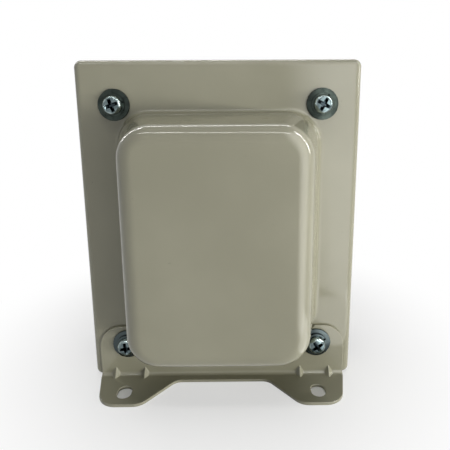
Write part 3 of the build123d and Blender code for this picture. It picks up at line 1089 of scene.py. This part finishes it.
@dataclass
class ScrewHead:
    """Places and sizes of the through screws and of what is under their heads.

    Attributes:
        head_diameter: Width of the pan head.
        head_height: Its height.
        crown_share: How far out its nearly flat crown goes, as a share of its radius.
        crown_drop: How much lower the crown is there.
        wall_height: Height of the head's straight wall.
        under_edge: Chamfer of its lower edge.
        shank_diameter: Width of the shank.
        length: Length under the head.
        tip_edge: Chamfer at the shank's end.
        recess_turns: Turn of each cross recess, in degrees: upper left, upper right, lower left, lower right.
        recess_width: Width of the cross where its arms meet.
        recess_arm: Length of an arm from there.
        recess_depth: Depth of the recess.
        arm_taper: How much narrower an arm is at its end.
        floor_scale: Size of the recess's floor against its mouth.
        spring_outer: Width of the spring washer.
        spring_height: Its height.
        spring_soft: How far its edges are rounded.
        slit: Size of the block that cuts its split.
        slit_lean: Lean of the split, in degrees.
        slit_reach: Distance of the split from the axis.
        plain_outer: Width of the plain washer.
        plain_height: Its height.
        plain_soft: How far its edges are rounded.
        bore: Bore of both washers.
        segments: Points round the axis.
        smooth_angle: Edges flatter than this many degrees are shaded smooth.
        seats: Where each stack sits.
    """

    head_diameter: float = 7.0 * MM
    head_height: float = 2.6 * MM
    crown_share: float = 0.62
    crown_drop: float = 0.10 * MM
    wall_height: float = 0.55 * MM
    under_edge: float = 0.12 * MM
    shank_diameter: float = 4.0 * MM
    length: float = 65.0 * MM
    tip_edge: float = 0.4 * MM
    recess_turns: tuple[float, float, float, float] = (20.0, 62.0, 8.0, 35.0)
    recess_width: float = 1.6 * MM
    recess_arm: float = 2.15 * MM
    recess_depth: float = 1.75 * MM
    arm_taper: float = 0.16
    floor_scale: float = 0.36
    spring_outer: float = 8.4 * MM
    spring_height: float = 1.0 * MM
    spring_soft: float = 0.14 * MM
    slit: tuple[float, float, float] = (4.0 * MM, 4.0 * MM, 0.7 * MM)
    slit_lean: float = 25.0
    slit_reach: float = 3.0 * MM
    plain_outer: float = 11.6 * MM
    plain_height: float = 0.9 * MM
    plain_soft: float = 0.22 * MM
    bore: float = 4.3 * MM
    segments: int = 64
    smooth_angle: float = 30.0
    seats: list[Vector] = field(default_factory=list)

    def find_seats(self) -> None:
        """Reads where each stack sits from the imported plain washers."""
        low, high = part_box("front_plain_washers")
        radius = self.plain_outer / 2
        rows = ((high.z - radius, high.y), (low.z + radius, low.y + self.plain_height))
        self.seats = [Vector((x, y, z)) for z, y in rows for x in (low.x + radius, high.x - radius)]
        for seat in self.seats:
            LOG.info("screw seat at %.5f %.5f %.5f", *seat)

    def _turned(self, profile: Sequence[tuple[float, float]], seat: Vector) -> Mesh:
        """Spins a profile round the screw's axis.

        Args:
            profile: Radius and height above the seat of each point, in metres.
            seat: Where the axis meets the seat.

        Returns:
            The turned mesh, facing -Y.
        """
        mesh = bmesh.new()
        points = [mesh.verts.new((radius, 0.0, height)) for radius, height in profile]
        edges = [mesh.edges.new(pair) for pair in zip(points, points[1:])]
        bmesh.ops.spin(
            mesh,
            geom=[*points, *edges],
            cent=(0.0, 0.0, 0.0),
            axis=(0.0, 0.0, 1.0),
            angle=math.tau,
            steps=self.segments,
            use_merge=True,
        )
        bmesh.ops.remove_doubles(mesh, verts=mesh.verts[:], dist=0.001 * MM)
        bmesh.ops.recalc_face_normals(mesh, faces=mesh.faces[:])
        rotate(mesh, 90.0, "X")
        shift(mesh, seat)
        return mesh

    def _join(self, meshes: Sequence[Mesh]) -> Mesh:
        """Puts several meshes in one.

        Args:
            meshes: The meshes, which are freed.

        Returns:
            The one mesh.
        """
        whole = bmesh.new()
        for mesh in meshes:
            data = bpy.data.meshes.new("scratch")
            mesh.to_mesh(data)
            mesh.free()
            whole.from_mesh(data)
            bpy.data.meshes.remove(data)
        return whole

    def _cross(self, seat: Vector, turn: float) -> Mesh:
        """Tapered cross that cuts the recess.

        Args:
            seat: Where the screw's axis meets the underside of the head.
            turn: Turn of the cross, in degrees.

        Returns:
            The cutter, facing -Y.
        """
        over = 0.4 * MM
        top, floor = self.head_height + over, self.head_height - self.recess_depth
        mesh = block((self.recess_width, self.recess_width, top - floor))
        shift(mesh, Vector((0.0, 0.0, (top + floor) / 2)))
        mesh.faces.ensure_lookup_table()
        sides = [face for face in mesh.faces if abs(face.normal.z) < 0.5]
        for face in sides:
            direction = face.normal.copy()
            arm = bmesh.ops.extrude_discrete_faces(mesh, faces=[face])["faces"][0]
            bmesh.ops.translate(mesh, vec=direction * self.recess_arm, verts=arm.verts[:])
            middle = sum((vert.co for vert in arm.verts), Vector()) / len(arm.verts)
            across = Vector((0.0, 0.0, 1.0)).cross(direction)
            for vert in arm.verts:
                vert.co -= across * (vert.co - middle).dot(across) * self.arm_taper
        for vert in mesh.verts:
            if vert.co.z < (top + floor) / 2:
                vert.co.x *= self.floor_scale
                vert.co.y *= self.floor_scale
        rotate(mesh, turn, "Z")
        rotate(mesh, 90.0, "X")
        shift(mesh, seat)
        bmesh.ops.recalc_face_normals(mesh, faces=mesh.faces[:])
        return mesh

    def _slit(self, seat: Vector, turn: float) -> Mesh:
        """Leaning block that splits the spring washer.

        Args:
            seat: Where the screw's axis meets the washer's underside.
            turn: Turn of the split, in degrees.

        Returns:
            The cutter.
        """
        mesh = block(self.slit)
        rotate(mesh, self.slit_lean, "X")
        shift(mesh, Vector((self.slit_reach, 0.0, 0.0)))
        rotate(mesh, -turn, "Y")
        shift(mesh, seat - Vector((0.0, self.spring_height / 2, 0.0)))
        return mesh

    def _cut(self, body: Mesh, cutter: Mesh) -> Mesh:
        """Takes one mesh out of another.

        Args:
            body: What is cut, which is freed.
            cutter: What is taken out, which is freed.

        Returns:
            The cut mesh.
        """
        made = [placed("cut_body", body), placed("cut_tool", cutter)]
        difference = made[0].modifiers.new("recess", "BOOLEAN")
        difference.operation = "DIFFERENCE"
        difference.solver = "EXACT"
        difference.object = made[1]
        result = bmesh.new()
        result.from_object(made[0], bpy.context.evaluated_depsgraph_get())
        for item in made:
            data = item.data
            bpy.data.objects.remove(item)
            bpy.data.meshes.remove(data)
        return result

    def _head_profile(self) -> list[tuple[float, float]]:
        """Half section of the screw from the top of the head to the end of the shank."""
        radius, height, shank = self.head_diameter / 2, self.head_height, self.shank_diameter / 2
        flat, drop = radius * self.crown_share, height - self.crown_drop
        crown = [(flat * share, height - self.crown_drop * share**2) for share in (0.0, 0.25, 0.5, 0.75)]
        steps = 8
        for step in range(steps + 1):
            lean = math.pi / 2 * step / steps
            side = flat + (radius - flat) * math.sin(lean)
            crown.append((side, self.wall_height + (drop - self.wall_height) * math.cos(lean)))
        return [
            *crown,
            (radius, self.under_edge),
            (radius - self.under_edge, 0.0),
            (shank, 0.0),
            (shank, self.tip_edge - self.length),
            (shank - self.tip_edge, -self.length),
            (0.0, -self.length),
        ]

    def _washer(self, outer: float, height: float, soft: float, seat: Vector) -> Mesh:
        """Turns a washer.

        Args:
            outer: Its width.
            height: Its height.
            soft: How far its edges are rounded.
            seat: Where the axis meets its seat.

        Returns:
            The washer, facing -Y.
        """
        inner, reach, bevel = self.bore / 2, outer / 2, soft * 0.3
        profile = [
            (inner, 0.0),
            (reach - soft, 0.0),
            (reach - bevel, bevel),
            (reach, soft),
            (reach, height - soft),
            (reach - bevel, height - bevel),
            (reach - soft, height),
            (inner + soft, height),
            (inner, height - soft),
            (inner, 0.0),
        ]
        return self._turned(profile, seat)

    def build(self, shop: Workshop) -> None:
        """Makes the front screws, spring washers and plain washers.

        Args:
            shop: Where the pieces are finished.
        """
        self.find_seats()
        plain, spring, screws = [], [], []
        for seat, turn in zip(self.seats, self.recess_turns):
            plain.append(self._washer(self.plain_outer, self.plain_height, self.plain_soft, seat))
            on_plain = seat - Vector((0.0, self.plain_height, 0.0))
            ring = self._washer(self.spring_outer, self.spring_height, self.spring_soft, on_plain)
            spring.append(self._cut(ring, self._slit(on_plain, turn)))
            on_spring = on_plain - Vector((0.0, self.spring_height, 0.0))
            head = self._turned(self._head_profile(), on_spring)
            screws.append(self._cut(head, self._cross(on_spring, turn)))
        names = ("front_plain_washers", "front_spring_washers", "through_screws")
        for name, meshes in zip(names, (plain, spring, screws)):
            shop.finish_piece(f"{name}_turned", self._join(meshes), [name], self.smooth_angle)


@dataclass
class Inside:
    """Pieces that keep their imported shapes, and those whose round faces are smoothed.

    Attributes:
        flat_nodes: Nodes shown as packed.
        round_nodes: Nodes shown by smoothed copies.
    """

    flat_nodes: tuple[str, ...] = ("core_e_laminations", "core_i_laminations", "terminal_clamps")
    round_nodes: tuple[str, ...] = (
        "bobbin",
        "primary_winding",
        "winding_insulation",
        "secondary_winding",
        "outer_wrap",
        "bolt_sleeves",
        "rear_plain_washers",
        "rear_spring_washers",
        "rear_nuts",
        "terminal_block",
        "terminal_plates",
        "terminal_screws",
        "block_screws",
        "block_nuts",
        "primary_leads",
        "secondary_leads",
    )

    def build(self, shop: Workshop) -> None:
        """Dresses every node.

        Args:
            shop: Where the pieces are finished.
        """
        for node in self.flat_nodes:
            shop.dress(node)
        for node in self.round_nodes:
            shop.smoothed(node)


class Glow(Enum):
    """What a lamp does."""

    BOTH = "lights the object and shows in its gloss"
    LIGHT = "lights the object only"
    SHINE = "shows in its gloss only"


@dataclass
class Lamp:
    """One soft lamp that looks at the object.

    Attributes:
        name: What it is for.
        azimuth: Where it stands, in degrees to the right of the object's front.
        elevation: How high it stands, in degrees.
        distance: How far away it is.
        size: Width and height.
        power: Watts.
        glow: Whether it lights the object, shows in its gloss, or both.
        facing: Where it faces, if not the object.
    """

    name: str
    azimuth: float
    elevation: float
    distance: float
    size: tuple[float, float]
    power: float
    glow: Glow = Glow.BOTH
    facing: Optional[Vector] = None

    def build(self, aim: Vector) -> None:
        """Hangs the lamp.

        Args:
            aim: What it points at.
        """
        turn, rise = math.radians(self.azimuth), math.radians(self.elevation)
        towards = Vector((math.sin(turn) * math.cos(rise), -math.cos(turn) * math.cos(rise), math.sin(rise)))
        data = bpy.data.lights.new(self.name, "AREA")
        data.shape = "RECTANGLE"
        data.size, data.size_y = self.size
        data.energy = self.power
        data.color = LAMP_COLOUR
        lamp = bpy.data.objects.new(self.name, data)
        lamp.location = aim + towards * self.distance
        backwards = towards if self.facing is None else -self.facing
        lamp.rotation_euler = backwards.to_track_quat("Z", "Y").to_euler()
        lamp.visible_camera = False
        lamp.visible_diffuse = self.glow is not Glow.SHINE
        lamp.visible_glossy = self.glow is not Glow.LIGHT
        bpy.context.scene.collection.objects.link(lamp)
        LOG.info("lamp %s at %s", self.name, tuple(round(value, 3) for value in lamp.location))


@dataclass
class Studio:
    """Camera, lamps, floor and world.

    Attributes:
        camera_place: Camera relative to the middle of the front flange's face: right, out and up.
        focal_px: Focal length in pixels of a picture 450 wide.
        centre_px: Principal point in that picture.
        pitch: How far the camera looks down, in radians.
        yaw: How far it looks to the right.
        roll: Its roll.
        picture: Width of the picture in pixels.
        sensor: Width of the sensor in millimetres. Only its ratio to the lens matters.
        slot: Where the slots of the feet are, across and out from the core's middle.
        slot_shade_reach: Distances from a slot's middle between which the painted shade under it gives way to
            white to the camera.
        shadow_reach: Distances from the object's middle between which it turns all white.
        near_white: Share of white near the object, which leaves the shadow to be seen.
        soft_light: Colour of the world's light on the object.
        soft_level: Its brightness.
    """

    camera_place: tuple[float, float, float] = (7.95 * MM, 168.9 * MM, 53.17 * MM)
    focal_px: float = 455.6
    centre_px: tuple[float, float] = (244.2, 183.1)
    pitch: float = 0.205
    yaw: float = 0.008
    roll: float = -0.005
    picture: float = 450.0
    sensor: float = 36.0
    slot: tuple[float, float] = (37.5 * MM, 38.5 * MM)
    slot_shade_reach: tuple[float, float] = (4.5 * MM, 5.5 * MM)
    shadow_reach: tuple[float, float] = (50.0 * MM, 130.0 * MM)
    near_white: float = 0.55
    soft_light: Colour = (0.92, 0.96, 1.0)
    soft_level: float = 0.12

    def set_camera(self, flange: Vector) -> None:
        """Puts the camera where the photograph was taken from.

        Args:
            flange: The point on the front flange's face at the core's centre.
        """
        data = bpy.data.cameras.new("camera")
        data.sensor_width = self.sensor
        data.lens = self.sensor * self.focal_px / self.picture
        data.shift_x = (self.picture / 2 - self.centre_px[0]) / self.picture
        data.shift_y = (self.centre_px[1] - self.picture / 2) / self.picture
        data.clip_start = 0.005
        camera = bpy.data.objects.new("camera", data)
        right, out, up = self.camera_place
        camera.location = flange + Vector((right, -out, up))
        look = Vector(
            (
                math.sin(self.yaw) * math.cos(self.pitch),
                math.cos(self.yaw) * math.cos(self.pitch),
                -math.sin(self.pitch),
            )
        )
        side = Vector((math.cos(self.yaw), -math.sin(self.yaw), 0.0))
        head = side.cross(look)
        rolled_side = math.cos(self.roll) * side + math.sin(self.roll) * head
        rolled_head = -math.sin(self.roll) * side + math.cos(self.roll) * head
        camera.rotation_euler = Matrix((rolled_side, rolled_head, -look)).transposed().to_euler()
        bpy.context.scene.collection.objects.link(camera)
        bpy.context.scene.camera = camera

    def set_world(self) -> None:
        """White to the camera and in glass and metal, and a soft grey light on the object."""
        graph = Graph("world", world=True)
        soft = graph.node("ShaderNodeBackground", None, {"Color": self.soft_light, "Strength": self.soft_level})
        white = graph.node("ShaderNodeBackground", None, {"Color": WHITE, "Strength": 1.0})
        bpy.context.scene.world = graph.blend(graph.seen(), soft, white)

    def lay_floor(self) -> None:
        """Lays the pale floor, white to the camera apart from the object's shadow and a painted shade under the
        feet's slots.
        """
        mesh = bmesh.new()
        bmesh.ops.create_grid(mesh, x_segments=4, y_segments=4, size=1.6)
        floor = placed("floor", mesh)
        graph = Graph("pale_floor")
        matt = {"Base Color": (0.9, 0.9, 0.9), "Roughness": 0.9, "IOR": 1.2}
        paint = graph.node("ShaderNodeBsdfPrincipled", None, matt)
        glow = graph.node("ShaderNodeEmission", None, {"Color": WHITE, "Strength": 1.0})
        place = graph.node("ShaderNodeVectorMath", {"operation": "LENGTH"}, {0: graph.place()})
        far = graph.step(Wire(graph, place.outputs["Value"]), *self.shadow_reach)
        # Painted shade: under each slot of the feet the floor loses its white glow, so that only its lit grey
        # shows there.
        slot_x = abs(graph.axis("X")) - self.slot[0]
        slot_y = abs(graph.axis("Y") - CORE_Y) - self.slot[1]
        clear = graph.step((slot_x * slot_x + slot_y * slot_y) ** 0.5, *self.slot_shade_reach)
        white = (self.near_white + far * (1.0 - self.near_white)) * clear
        floor.data.materials.append(graph.blend(graph.seen() * white, paint, glow))

    def _lamps(self) -> list[Lamp]:
        """The lamps, and the cards that the gloss on the right shows one behind the other."""
        lamps = [
            Lamp("window_right", 63.0, -3.0, 0.6, (0.75, 0.062), 5.0, Glow.LIGHT),
            Lamp("fill_front", 24.0, 8.0, 0.6, (0.3, 0.12), 0.24, Glow.LIGHT),
            Lamp("fill_above", 0.0, 78.0, 0.6, (0.3, 0.3), 0.75, Glow.LIGHT),
            Lamp("fill_behind", 180.0, 48.0, 0.6, (0.3, 0.2), 0.4, Glow.LIGHT),
            Lamp("strip_front", -9.0, 64.0, 0.5, (0.5, 0.012), 0.5),
            Lamp("strip_behind", -171.0, 64.0, 0.5, (0.5, 0.014), 0.7),
            Lamp("strip_left", -118.0, 40.0, 0.5, (0.014, 0.4), 0.6, Glow.SHINE),
            Lamp("strip_right", 84.0, 32.0, 0.5, (0.014, 0.5), 1.9, Glow.SHINE),
            Lamp("card_low", 59.0, -36.0, 0.1022, (0.05, 0.047), 0.018, Glow.SHINE, Vector((0.0, 0.0, 1.0))),
        ]
        # Five cards of growing size, 0.5 mm apart, have one soft edge together.
        watts_per_area = 2.0
        for step in range(5):
            size = (0.022 + 0.011 * step, 0.15 + 0.015 * step)
            power = watts_per_area * size[0] * size[1]
            lamps.append(Lamp(f"card_right_{step}", 45.5, 8.0, 0.086 + 0.0005 * step, size, power, Glow.SHINE))
        return lamps

    def build(self) -> None:
        """Sets up everything round the object."""
        low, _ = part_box("front_cover")
        flange = Vector((0.0, low.y + BELL_DEPTH, CORE_HEIGHT))
        self.set_camera(flange)
        self.set_world()
        self.lay_floor()
        for lamp in self._lamps():
            lamp.build(flange)
        bpy.context.scene.view_settings.view_transform = "Standard"


def main() -> None:
    """Builds the pieces and the studio."""
    logging.basicConfig(level=logging.INFO, format="%(name)s: %(message)s")
    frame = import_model()
    shop = Workshop(frame, Finishes())
    for side in Side:
        BellCover(side, f"{side.value}_cover").build(shop)
        FootBracket(side, f"{side.value}_foot_bracket").build(shop)
    ScrewHead().build(shop)
    Inside().build(shop)
    Studio().build()


if __name__ == "__main__":
    main()
